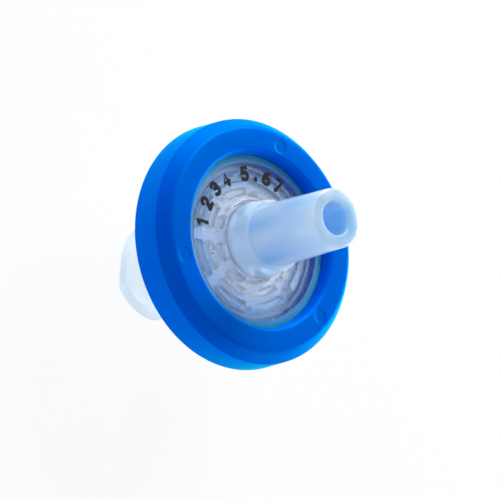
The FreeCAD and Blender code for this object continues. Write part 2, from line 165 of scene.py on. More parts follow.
class FilterRingSettings(bpy.types.PropertyGroup):
    """The ring moulded over both plates."""

    width: length("Width", "Radial width at the front edge", 2.5)
    front_lip: length("Front lip", "Height of the ring above the outlet plate", 0.85)
    back_lip: length("Back lip", "Height of the ring behind the inlet plate", 0.7)
    front_shoulder_width: length("Front shoulder width", "Radial width of the front shoulder", 0.7)
    front_shoulder_height: length("Front shoulder height", "Height of the front shoulder", 0.85)
    back_shoulder_width: length("Back shoulder width", "Radial width of the back shoulder", 1.05)
    back_shoulder_height: length("Back shoulder height", "Height of the back shoulder", 1.2)
    edge_round: length("Edge rounding", "Rounding of the two outer edges", 0.14)
    shoulder_round: length("Shoulder rounding", "Rounding from the shoulders to the flats", 0.5)
    lip_round: length("Lip rounding", "Rounding of the inner edges of the lips", 0.3)
    lip_draft: number("Lip draft", "Growth of the opening's radius per height of a lip", 0.16)
    mark_radius: length("Mark radius", "Radius of an ejector pin mark", 0.5)
    mark_depth: length("Mark depth", "Depth of an ejector pin mark", 0.04)
    mark_turn: angle("Mark turn", "Direction of the first ejector pin mark from X", 77)
    mark_count: count("Marks", "Number of ejector pin marks", 3, 1)
    shade: colour("Blue", "Colour of the ring's polypropylene", "#003ec8")


class FilterOutletSettings(bpy.types.PropertyGroup):
    """The clear outlet half, with its ribs, hub, collar and male luer cone."""

    plate: length("Plate", "Thickness of the outlet plate", 1.65)
    groove_land: length("Groove land", "Flat between the weld groove and the rim", 0.1)
    groove_width: length("Groove width", "Width of the weld groove", 0.68)
    groove_depth: length("Groove depth", "Depth of the weld groove", 0.55)
    groove_lean: length("Groove lean", "How far the steep side of the weld groove leans", 0.15)
    seal_land: length("Seal land", "Flat that clamps the rim of the membrane", 0.22)
    recess_depth: length("Recess depth", "Depth of the collecting recess and height of its ribs", 0.93)
    rib_circle: length("Rib circle", "Middle radius of the innermost ring of ribs", 2.55)
    rib_pitch: length("Rib pitch", "Radial distance from one ring of ribs to the next", 0.95)
    rib_width: length("Rib width", "Width of a rib at its foot", 0.45)
    rib_draft: length("Rib draft", "How much each side of a rib leans in over its height", 0.04)
    rib_round: length("Rib rounding", "Rounding along the foot and the crest of a rib", 0.07)
    rib_rings: count("Rib rings", "Number of rings of ribs", 3, 1)
    channel_width: length("Channel width", "Width of a radial channel between the ribs", 0.92)
    channels: count("Channels", "Number of radial channels", 8, 3)
    tip_radius: length("Tip radius", "Radius of the male luer cone at its end", 1.98)
    tip_round: length("Tip rounding", "Rounding of the outer edge of the tip", 0.14)
    collar_height: length("Collar height", "Outlet plate to the collar", 2.0)
    collar_step: length("Collar step", "How far the collar stands out from the cone", 0.28)
    collar_round: length("Collar rounding", "Rounding of the collar", 0.06)
    hub_fillet: length("Hub fillet", "Fillet between the hub and the plate", 0.45)
    bore_radius: length("Bore radius", "Bore radius at the tip", 1.13)
    bore_round: length("Bore rounding", "Rounding of the bore at the tip", 0.12)
    bore_funnel: length("Bore funnel", "Chamfer of the bore where it meets the recess", 0.35)
    core_shade: colour("Core", "Tint of the clear polypropylene next to the hub", "#f6faff")
    # The plate tint is partly painted blue light from the ring.
    shade: colour("Plate", "Tint of the clear polypropylene at the ribs", "#c2e0fa")
    # The rim tint is painted blue light from the ring, where the plate meets it.
    painted_rim_blue: colour("Rim", "Tint of the clear polypropylene next to the blue ring", "#44b0ff")
    # The blue of the hub and cloud tints is partly painted light from the ring.
    hub_shade: colour("Hub", "Tint of the clear polypropylene where it is thick", "#98c8ff")
    cloud_shade: colour("Clouds", "Tint of the milky clouds in the hub", "#cae0ff")
    # The foot tint is painted light: it makes the foot of the hub look paler and brighter.
    painted_foot_light: colour("Foot", "Tint of the clear polypropylene at the foot of the hub", "#d4edff")


class FilterInletSettings(bpy.types.PropertyGroup):
    """The inlet half with the female luer lock, and the membrane in its seat."""

    plate: length("Plate", "Thickness of the inlet plate", 0.95)
    hub_radius: length("Hub radius", "Radius of the hub at its open end", 3.35)
    hub_draft: number("Hub draft", "Growth of the hub's radius per length", 0.02)
    hub_fillet: length("Hub fillet", "Fillet between the hub and the plate", 0.45)
    end_round: length("End rounding", "Rounding of the hub and of the ears at the open end", 0.1)
    ear_reach: length("Ear reach", "How far the ears stand out from the hub", 0.57)
    ear_arc: angle("Ear arc", "Angle that the outer face of an ear spans", 58)
    ear_height: length("Ear height", "Height of an ear at its middle", 1.25)
    ear_turn: angle("Ear turn", "Direction of the first ear from X", 56)
    thread_lead: length("Thread lead", "Lead of the luer lock thread, which slopes the ears", 5.0)
    socket_radius: length("Socket radius", "Radius of the female luer cone at its mouth", 2.15)
    socket_depth: length("Socket depth", "Length of the female luer cone", 7.5)
    mouth_chamfer: length("Mouth chamfer", "Lead-in at the mouth of the socket", 0.15)
    feed_radius: length("Feed radius", "Hole from the socket to the membrane", 0.8)
    ledge: length("Ledge", "Width of the ledge under the rim of the membrane", 0.4)
    clearance: length("Clearance", "Gap around the membrane in its seat", 0.05)
    recess_depth: length("Recess depth", "Depth of the recess under the membrane", 0.3)
    spoke_start: length("Spoke start", "Distance of the radial ribs from the axis", 1.6)
    spoke_width: length("Spoke width", "Width of a radial rib", 0.4)
    spokes: count("Spokes", "Number of radial ribs", 8, 3)
    # Its faint blue is partly painted light from the ring.
    shade: colour("Natural", "Tint of the natural polypropylene", "#eaf5ff")
    # The membrane is white; its faint blue is painted light from the ring.
    membrane_shade: colour("Membrane", "Colour of the membrane", "#e8f1ff")


class FilterDigitSettings(bpy.types.PropertyGroup):
    """Plain digits around the face of the outlet plate."""

    circle: length("Circle", "Distance of the middle of the digits from the axis", 4.63)
    height: length("Height", "Height of a digit between the middles of its strokes", 0.83)
    stroke: length("Stroke", "Width of a stroke", 0.29)
    film: length("Film", "Thickness of the ink", 0.012)
    digits: StringProperty(name="Digits", description="Digits 1 to 7 and points", default="12345.67")
    shade: colour("Ink", "Colour of the printing ink", "#120c10")


class FilterStageSettings(bpy.types.PropertyGroup):
    """Floor, lamps and surroundings."""

    floor_size: length("Floor size", "Side of the square floor", 900)
    lamp_distance: length("Lamp distance", "Distance of the lamps from the filter", 260)
    lamp_side: length("Lamp side", "Height of the large lamps", 120)
    lamp_power: number("Lamp power", "Power of all lamps together", 1.03, "POWER")
    fill: number("Fill", "Strength of the light from the walls around", 2.33)
    inner: number("Inner light", "Strength of the surroundings through clear plastic", 2.3)
    sky: number("Sky", "Strength of the reflections from above", 0.25)
    floor_shade: colour("Floor", "Colour of the floor", "#f4f4f4")


# ---- Helpers for meshes and nodes ----


def polar(radius, turn):
    """Return the point at a distance from the origin and an angle from X."""
    return radius * math.cos(turn), radius * math.sin(turn)


def rounded_outline(corners, steps=7):
    """Return an open line through corners (across, along, rounding) with its roundings as arcs."""
    line = []
    for i, corner in enumerate(corners):
        spot = Vector(corner[:2])
        radius = corner[2] if len(corner) == 3 else 0.0
        if not radius:
            line.append(spot)
            continue
        to_before = (Vector(corners[i - 1][:2]) - spot).normalized()
        to_after = (Vector(corners[(i + 1) % len(corners)][:2]) - spot).normalized()
        half = to_before.angle(to_after) / 2
        centre = spot + (to_before + to_after).normalized() * radius / math.sin(half)
        first = spot + to_before * radius / math.tan(half) - centre
        last = spot + to_after * radius / math.tan(half) - centre
        swing = first.angle_signed(last)
        for step in range(steps + 1):
            line.append(centre + Matrix.Rotation(-swing * step / steps, 2) @ first)
    return line


def new_object(name, data):
    """Link a mesh, curve, lamp or camera to the scene as an object at the origin."""
    piece = bpy.data.objects.new(name, data)
    bpy.context.scene.collection.objects.link(piece)
    return piece


def built_mesh(name, build):
    """Turn a finished bmesh into a mesh."""
    mesh = bpy.data.meshes.new(name)
    build.to_mesh(mesh)
    build.free()
    return mesh


def shade_mesh(mesh):
    """Shade a mesh smoothly between its sharp edges."""
    mesh.shade_smooth()
    mesh.set_sharp_from_angle(angle=SHARP_BEND)


def clean_mesh(mesh, merge=MERGE):
    """Merge doubles, drop loose edges, point the faces outwards and shade the mesh."""
    build = bmesh.new()
    build.from_mesh(mesh)
    bmesh.ops.remove_doubles(build, verts=build.verts, dist=merge)
    bmesh.ops.dissolve_degenerate(build, edges=build.edges, dist=merge)
    wires = [edge for edge in build.edges if edge.is_wire]
    bmesh.ops.delete(build, geom=wires, context="EDGES")
    bmesh.ops.recalc_face_normals(build, faces=build.faces)
    build.to_mesh(mesh)
    build.free()
    shade_mesh(mesh)


def grid_mesh(name, vertices, rows, closed):
    """Return a mesh over rows of vertices. The last row meets the first, and columns if closed."""
    width = len(vertices) // rows
    faces = []
    for row in range(rows):
        here, there = row * width, (row + 1) % rows * width
        for i in range(width if closed else width - 1):
            after = (i + 1) % width
            faces.append((here + i, there + i, there + after, here + after))
    mesh = bpy.data.meshes.new(name)
    mesh.from_pydata(vertices, [], faces)
    return mesh


def turned_mesh(name, outline, segments):
    """Turn a closed outline of (radius, height) all the way around Z."""
    vertices = []
    for segment in range(segments):
        turn = 2 * math.pi * segment / segments
        vertices += [(*polar(radius, turn), height) for radius, height in outline]
    mesh = grid_mesh(name, vertices, segments, closed=True)
    clean_mesh(mesh)
    return mesh


def evaluated_mesh(piece):
    """Return a piece with its modifiers, or a curve with its thickness, as a plain mesh."""
    bpy.context.view_layer.update()
    evaluated = piece.evaluated_get(bpy.context.evaluated_depsgraph_get())
    return bpy.data.meshes.new_from_object(evaluated)


def applied(piece):
    """Make the modifiers of a piece part of its mesh."""
    mesh = evaluated_mesh(piece)
    mesh.name = piece.name
    piece.modifiers.clear()
    piece.data = mesh
    return piece


def combine(piece, parts, operation, solver):
    """Add parts to a piece, or cut them from it, and drop them."""
    for part in parts:
        step = piece.modifiers.new(part.name, "BOOLEAN")
        step.operation = operation
        step.solver = solver
        step.object = part
    applied(piece)
    for part in parts:
        bpy.data.objects.remove(part)
    shade_mesh(piece.data)


def add_node(tree, kind, values=None, links=None, **settings):
    """Add a node, set it up, give its inputs their values and link them."""
    node = tree.nodes.new(kind)
    for setting, value in settings.items():
        setattr(node, setting, value)
    for socket, value in (values or {}).items():
        node.inputs[socket].default_value = value
    for socket, source in (links or {}).items():
        tree.links.new(source, node.inputs[socket])
    return node


def calculated(tree, operation, *terms):
    """Add a maths node over numbers and sockets, and return its result."""
    values = {i: term for i, term in enumerate(terms) if isinstance(term, (int, float))}
    links = {i: term for i, term in enumerate(terms) if i not in values}
    return add_node(tree, "ShaderNodeMath", values, links, operation=operation).outputs[0]


def mapped(tree, value, results, ends=(0.0, 1.0), kind="LINEAR"):
    """Map a socket from one pair of ends to a pair of results, held at the ends."""
    values = dict(zip(("From Min", "From Max", "To Min", "To Max"), (*ends, *results)))
    node = add_node(tree, "ShaderNodeMapRange", values, {"Value": value}, interpolation_type=kind)
    return node.outputs[0]


def mixed(tree, share, first, second):
    """Mix two colours, given as values or sockets, and return the result."""
    values, links = {}, {"Factor": share}
    for socket, tone in (("A", first), ("B", second)):
        given = links if isinstance(tone, bpy.types.NodeSocket) else values
        given[socket] = tone
    return add_node(tree, "ShaderNodeMix", values, links, data_type="RGBA").outputs["Result"]


def noise(tree, place, grain, detail):
    """Add noise with grains of one size, and return its value from 0 to 1."""
    values = {"Scale": 1 / grain, "Detail": detail}
    return add_node(tree, "ShaderNodeTexNoise", values, {"Vector": place}).outputs[0]


def around_tree():
    """Build the node tree that repeats a piece evenly around Z and joins the copies."""
    if AROUND_NAME in bpy.data.node_groups:
        return bpy.data.node_groups[AROUND_NAME]
    tree = bpy.data.node_groups.new(AROUND_NAME, "GeometryNodeTree")
    sockets = (
        ("Geometry", "INPUT", "Geometry"),
        ("Count", "INPUT", "Int"),
        ("Join distance", "INPUT", "Float"),
        ("Material", "INPUT", "Material"),
        ("Geometry", "OUTPUT", "Geometry"),
    )
    for name, side, kind in sockets:
        tree.interface.new_socket(name, in_out=side, socket_type="NodeSocket" + kind)
    tree.interface.items_tree["Join distance"].subtype = "DISTANCE"

    given = add_node(tree, "NodeGroupInput").outputs
    points = add_node(tree, "GeometryNodePoints", links={"Count": given["Count"]})
    index = add_node(tree, "GeometryNodeInputIndex")
    share = calculated(tree, "DIVIDE", index.outputs[0], given["Count"])
    turn = calculated(tree, "MULTIPLY", share, 2 * math.pi)
    direction = add_node(tree, "ShaderNodeCombineXYZ", links={"Z": turn})
    links = {"Points": points.outputs[0], "Instance": given["Geometry"], "Rotation": direction.outputs[0]}
    copies = add_node(tree, "GeometryNodeInstanceOnPoints", links=links)
    real = add_node(tree, "GeometryNodeRealizeInstances", links={"Geometry": copies.outputs[0]})
    links = {"Geometry": real.outputs[0], "Distance": given["Join distance"]}
    joined = add_node(tree, "GeometryNodeMergeByDistance", links=links)
    links = {"Geometry": joined.outputs[0], "Material": given["Material"]}
    finished = add_node(tree, "GeometryNodeSetMaterial", links=links)
    add_node(tree, "NodeGroupOutput", links={"Geometry": finished.outputs[0]})
    return tree


def repeated_around(piece, copies, material):
    """Repeat a piece around Z with the node tree and keep the result as its mesh."""
    tree = around_tree()
    modifier = piece.modifiers.new("Around", "NODES")
    modifier.node_group = tree
    values = {"Count": copies, "Join distance": JOIN, "Material": material}
    for item in tree.interface.items_tree:
        if item.in_out == "INPUT" and item.name in values:
            modifier[item.identifier] = values[item.name]
    return applied(piece)


# ---- Materials ----


def new_material(name, values):
    """Start a material, and return it with its tree, its shader and the object coordinates."""
    material = bpy.data.materials.new(name)
    material.use_nodes = True
    tree = material.node_tree
    shader = tree.nodes["Principled BSDF"]
    for socket, value in values.items():
        shader.inputs[socket].default_value = value
    place = add_node(tree, "ShaderNodeTexCoord")
    return material, tree, shader, place.outputs["Object"]


def cover(tree, share, under, over):
    """Lay a share of one shader over another, as the surface."""
    links = {0: share, 1: under.outputs[0], 2: over.outputs[0]}
    skin = add_node(tree, "ShaderNodeMixShader", links=links)
    tree.links.new(skin.outputs[0], tree.nodes["Material Output"].inputs["Surface"])


def blue_polypropylene(shade):
    """Injection-moulded polypropylene, dyed through: a broad satin gloss over a deep blue."""
    values = {
        "Base Color": shade,
        "IOR": POLYPROPYLENE_IOR,
        "Roughness": 0.5,
        "Specular IOR Level": 0.0,
        "Subsurface Weight": 1.0,
        "Subsurface Scale": 0.8 * MM,
        "Subsurface Radius": (0.2, 0.6, 1.0),
    }
    material, tree, shader, place = new_material("blue polypropylene, moulded", values)
    # The dye lies right under the skin, so the gloss takes a lighter blue from it.
    # Where the light grazes the skin, the gloss is stronger and lighter still.
    facing = add_node(tree, "ShaderNodeLayerWeight", {"Blend": 0.5})
    grazing = calculated(tree, "POWER", facing.outputs["Facing"], GRAZING_POWER)
    tint = mixed(tree, grazing, GLOSS_TINT, GRAZING_TINT)
    gloss = add_node(tree, "ShaderNodeBsdfGlossy", {"Roughness": 0.5}, {"Color": tint})
    cover(tree, mapped(tree, grazing, GLOSS_SHARE), shader, gloss)
    # Spark-finished mould steel leaves a grain of about 0.15 mm.
    grain = noise(tree, place, 0.15 * MM, 2.0)
    relief = {"Strength": 0.06, "Distance": 0.01 * MM}
    bump = add_node(tree, "ShaderNodeBump", relief, {"Height": grain})
    for node in (shader, gloss):
        tree.links.new(bump.outputs[0], node.inputs["Normal"])
    return material


def add_plate_tint_and_painted_blue(tree, place, shades):
    """Tint a plate by the distance from the axis, with shades from the core to the rim.

    At its rim the plate is painted the ring's blue, a painted stand-in for the ring's blue light; the
    middle tint is partly painted blue too. Returns the tint and the share of the rim.
    """
    level = add_node(tree, "ShaderNodeVectorMath", {1: (1, 1, 0)}, {0: place}, operation="MULTIPLY")
    reach = add_node(tree, "ShaderNodeVectorMath", links={0: level.outputs[0]}, operation="LENGTH")
    tint = shades[0]
    for near, far, shade in zip(TINT_REACH, TINT_REACH[1:], shades[1:]):
        share = mapped(tree, reach.outputs["Value"], (0.0, 1.0), (near, far), "SMOOTHSTEP")
        tint = mixed(tree, share, tint, shade)
    return tint, share


def clear_polypropylene(sizes):
    """Clarified polypropylene: clear and glossy, with the haze that its crystals give thick walls."""
    values = {
        "IOR": POLYPROPYLENE_IOR,
        "Subsurface Weight": 1.0,
        "Subsurface Scale": HAZE_LENGTH,
        "Subsurface Radius": (1.0, 1.0, 1.0),
    }
    material, tree, shader, place = new_material("clear polypropylene, moulded", values)
    height = add_node(tree, "ShaderNodeSeparateXYZ", links={0: place}).outputs["Z"]
    face = OUTLET_LOW.z + sizes.plate
    # The middle and rim tints are painted blue light from the ring, and rim is the share of the painted
    # rim.
    tint_and_painted_blue, rim = add_plate_tint_and_painted_blue(tree, place, (sizes.core_shade, sizes.shade, sizes.painted_rim_blue))
    # The plate is clear but for its rim, where the painted blue shows, and the hub on it is milky.
    haze = mapped(tree, height, (0.0, 1.0), (face, face + MILKY_RISE), "SMOOTHSTEP")
    passing = mapped(tree, haze, CLEARNESS)
    inside = calculated(tree, "SUBTRACT", 1.0, rim)
    clear = calculated(tree, "MINIMUM", passing, inside)
    tree.links.new(clear, shader.inputs["Transmission Weight"])
    # Flow marks of about 0.8 mm make the gloss uneven. The hub is a little glossier.
    flow = mapped(tree, noise(tree, place, 0.8 * MM, 3.0), CLEAR_ROUGHNESS)
    rough = calculated(tree, "MULTIPLY_ADD", haze, -HUB_SMOOTHNESS, flow)
    tree.links.new(rough, shader.inputs["Roughness"])
    # The melt flows along the hub, so its clouds of about 1.6 mm are drawn out along Z.
    scale = {1: (1, 1, CLOUD_DRAW)}
    drawn = add_node(tree, "ShaderNodeVectorMath", scale, {0: place}, operation="MULTIPLY").outputs[0]
    cloudy = mapped(tree, noise(tree, drawn, 1.6 * MM, 1.0), (0.0, 1.0), CLOUD_ENDS)
    # Their blue is partly painted light from the ring.
    milky = mixed(tree, cloudy, sizes.hub_shade, sizes.cloud_shade)
    # The foot of the hub is painted a paler tint, a painted light that brightens it.
    fade = [face + rise for rise in FOOT_FADE]
    foot = mapped(tree, height, (FOOT_PALENESS, 0.0), fade, "SMOOTHSTEP")
    pale = mixed(tree, foot, milky, sizes.painted_foot_light)
    # The tint carries the painted blue of the plate and its rim.
    tree.links.new(mixed(tree, haze, tint_and_painted_blue, pale), shader.inputs["Base Color"])
    return material


def natural_polypropylene(shade):
    """Natural polypropylene: translucent, with a satin skin that blurs what lies behind it."""
    values = {"Base Color": shade, "IOR": POLYPROPYLENE_IOR, "Transmission Weight": 1.0}
    material, tree, shader, place = new_material("natural polypropylene, moulded", values)
    # Its flow marks are broader, about 1.2 mm.
    flow = mapped(tree, noise(tree, place, 1.2 * MM, 3.0), NATURAL_ROUGHNESS)
    tree.links.new(flow, shader.inputs["Roughness"])
    return material


def membrane_film(shade):
    """Microporous polymer film: white and dead matt, with a fine felt-like grain."""
    values = {"Roughness": 0.9, "IOR": 1.42}
    material, tree, shader, place = new_material("microporous film, cast", values)
    # The pores are far too small to show, so the grain is drawn at 0.1 mm, and a little greyer.
    grain = noise(tree, place, 0.1 * MM, 3.0)
    hollow = [0.93 * c for c in shade[:3]] + [1.0]
    tree.links.new(mixed(tree, grain, hollow, shade), shader.inputs["Base Color"])
    return material


def printing_ink(shade):
    """Pad-printing ink: a thin dark film that lies a little unevenly."""
    values = {"Roughness": 0.6, "IOR": 1.5, "Specular IOR Level": 0.2}
    material, tree, shader, place = new_material("printing ink, pad printed", values)
    patch = noise(tree, place, 0.25 * MM, 2.0)
    thin = [min(1.0, 2.6 * c + 0.01) for c in shade[:3]] + [1.0]
    tree.links.new(mixed(tree, patch, shade, thin), shader.inputs["Base Color"])
    return material


def studio_floor(shade):
    """Matt white laminate: plain white where it is seen, with a faint shadow of the object."""
    values = {"Base Color": shade, "Roughness": 0.8, "Specular IOR Level": 0.0}
    material, tree, shader, _ = new_material("white laminate, matt", values)
    # It is seen by the camera, in a reflection and through clear plastic.
    path = add_node(tree, "ShaderNodeLightPath").outputs
    outside = calculated(tree, "MAXIMUM", path["Is Camera Ray"], path["Is Glossy Ray"])
    seen = calculated(tree, "MAXIMUM", outside, path["Is Transmission Ray"])
    white = add_node(tree, "ShaderNodeEmission", {"Color": (1, 1, 1, 1), "Strength": 1.0})
    cover(tree, calculated(tree, "MULTIPLY", seen, FLOOR_WHITENESS), shader, white)
    return material


# ---- Operators ----


class FILTER_OT_ring(bpy.types.Operator):
    """Make the ring with rounded lips and its ejector pin marks"""

    bl_idname = "filter_piece.ring"
    bl_label = "Ring"

    SEGMENTS = 256
    PIN_SEGMENTS = 48

    def execute(self, context):
        sizes = context.scene.filter_ring
        opening = OUTLET_HIGH.x
        flange = INLET_HIGH.x
        top, bottom = RING_HIGH.z, RING_LOW.z
        face, back = top - sizes.front_lip, bottom + sizes.back_lip
        front = opening + sizes.width
        flat_inner = opening + sizes.lip_draft * sizes.front_lip
        flat_outer = front - sizes.front_shoulder_width
        corners = [
            (opening - FILM, OUTLET_LOW.z - FILM),
            (flange - FILM, OUTLET_LOW.z - FILM),
            (flange - FILM, back + FILM),
            (opening, back + FILM),
            (opening + sizes.lip_draft * sizes.back_lip, bottom, sizes.lip_round),
            (RING_HIGH.x - sizes.back_shoulder_width, bottom, sizes.shoulder_round),
            (RING_HIGH.x, bottom + sizes.back_shoulder_height, sizes.edge_round),
            (front, top - sizes.front_shoulder_height, sizes.edge_round),
            (flat_outer, top, sizes.shoulder_round),
            (flat_inner, top, sizes.lip_round),
            (opening, face),
            (opening - FILM, face - FILM),
        ]
        material = blue_polypropylene(sizes.shade)
        mesh = turned_mesh("ring", rounded_outline(corners), self.SEGMENTS)
        mesh.materials.append(material)
        ring = new_object("ring", mesh)

        # The ejector pins stand halfway across the flat of the front.
        middle = (*polar((flat_inner + flat_outer) / 2, sizes.mark_turn), top)
        build = bmesh.new()
        radius = sizes.mark_radius
        bmesh.ops.create_cone(
            build,
            cap_ends=True,
            segments=self.PIN_SEGMENTS,
            radius1=radius,
            radius2=radius,
            depth=2 * sizes.mark_depth,
            matrix=Matrix.Translation(middle),
        )
        pin = built_mesh("ejector_pin", build)
        pin.materials.append(material)
        pins = repeated_around(new_object("ejector_pins", pin), sizes.mark_count, material)
        combine(ring, [pins], "DIFFERENCE", "EXACT")
        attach(ring, BODY)
        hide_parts("overmould_ring")
        return {"FINISHED"}


class FILTER_OT_outlet(bpy.types.Operator):
    """Make the clear outlet half: ribs and channels, plate, hub, collar and male luer cone"""

    bl_idname = "filter_piece.outlet"
    bl_label = "Outlet half"

    # Growth of the hub's radius per length, and how much less the bore's radius is at the funnel.
    HUB_DRAFT = 0.09
    BORE_LOSS = 0.1 * MM
    # Steps across half a channel and along a rib, and the largest share of a sector for the first.
    CHANNEL_STEPS = 4
    RIB_STEPS = 14
    CHANNEL_SHARE = 0.46

    def execute(self, context):
        sizes = context.scene.filter_outlet
        sector = new_object("outlet_half", self.sector_mesh(sizes))
        outlet = repeated_around(sector, sizes.channels, clear_polypropylene(sizes))
        clean_mesh(outlet.data)
        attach(outlet, BODY)
        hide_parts("outlet_housing")
        return {"FINISHED"}

    def outline(self, sizes):
        """Return the closed section as (radius, height between channels, height in a channel)."""
        parting = OUTLET_LOW.z
        tip = OUTLET_HIGH.z
        face = parting + sizes.plate
        ceiling = parting + sizes.recess_depth
        rim = OUTLET_HIGH.x
        groove_outer = rim - sizes.groove_land
        groove_inner = groove_outer - sizes.groove_width
        recess = groove_inner - sizes.seal_land
        land = parting - FILM
        funnel = sizes.bore_radius - self.BORE_LOSS

        corners = [(funnel + sizes.bore_funnel, ceiling)]
        for ring in range(sizes.rib_rings):
            middle = sizes.rib_circle + ring * sizes.rib_pitch
            foot = sizes.rib_width / 2
            top = foot - sizes.rib_draft
            corners += [
                (middle - foot, ceiling, sizes.rib_round),
                (middle - top, parting, sizes.rib_round),
                (middle + top, parting, sizes.rib_round),
                (middle + foot, ceiling, sizes.rib_round),
            ]
        corners += [(recess, ceiling)]
        inside = [(r, z, ceiling) for r, z in rounded_outline(corners, steps=4)]

        collar = face + sizes.collar_height
        cone_foot = sizes.tip_radius + LUER_TAPER * (tip - collar)
        collar_radius = cone_foot + sizes.collar_step
        hub_foot = collar_radius + self.HUB_DRAFT * sizes.collar_height
        outside = rounded_outline(
            [
                (recess, land),
                (groove_inner, land),
                (groove_inner + sizes.groove_lean, land + sizes.groove_depth),
                (groove_outer, land),
                (rim, land),
                (rim, face),
                (hub_foot, face, sizes.hub_fillet),
                (collar_radius, collar, sizes.collar_round),
                (cone_foot, collar),
                (sizes.tip_radius, tip, sizes.tip_round),
                (sizes.bore_radius, tip, sizes.bore_round),
                (funnel, ceiling + sizes.bore_funnel),
            ]
        )
        return inside, [(r, z, z) for r, z in outside]

    def sector_mesh(self, sizes):
        """Return one sector, from the middle of a channel to the middle of the next."""
        inside, outside = self.outline(sizes)
        whole = 2 * math.pi / sizes.channels
        steps, rib_steps = self.CHANNEL_STEPS, self.RIB_STEPS
        points = inside + outside
        vertices = []
        for i, (radius, between, channel) in enumerate(points):
            # Inside, a channel keeps its width. Outside, the steps around are even.
            if i <= len(inside):
                widest = math.sin(self.CHANNEL_SHARE * whole)
                edge = math.asin(min(sizes.channel_width / 2 / radius, widest))
            else:
                edge = whole * steps / (2 * steps + rib_steps)
            near = [edge * step / steps for step in range(steps + 1)]
            columns = [(turn, channel) for turn in near]
            for step in range(rib_steps + 1):
                columns.append((edge + (whole - 2 * edge) * step / rib_steps, between))
            columns += [(whole - turn, channel) for turn in reversed(near)]
            vertices += [(*polar(radius, turn), height) for turn, height in columns]
        return grid_mesh("outlet_sector", vertices, len(points), closed=False)


